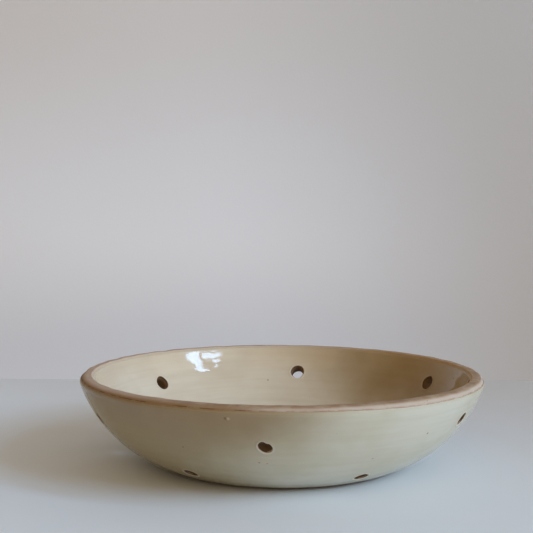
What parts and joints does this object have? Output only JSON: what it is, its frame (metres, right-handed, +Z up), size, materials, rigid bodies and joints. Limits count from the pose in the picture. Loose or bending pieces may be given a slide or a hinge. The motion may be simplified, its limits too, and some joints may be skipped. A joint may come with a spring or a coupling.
{
  "type": "colander bowl",
  "caption": "Wide shallow stoneware berry colander bowl, pierced with drain holes, glazed inside and out, with a bare clay rim.",
  "frame": {"origin": "on the table, under the middle of the foot", "axes": "+Z up along the bowl's axis; -Y towards the viewer of the picture; +X to the right"},
  "size_m": [0.231, 0.231, 0.052],
  "materials": {
    "bare_clay": "matt fired stoneware, warm brown",
    "inner_glaze": "glossy warm cream glaze",
    "outer_glaze": "satin-gloss pale grey-green cream glaze"
  },
  "bodies": {
    "root": {"clay_body": "bare_clay", "inner_glaze": "inner_glaze", "outer_glaze": "outer_glaze"}
  },
  "joints": []
}
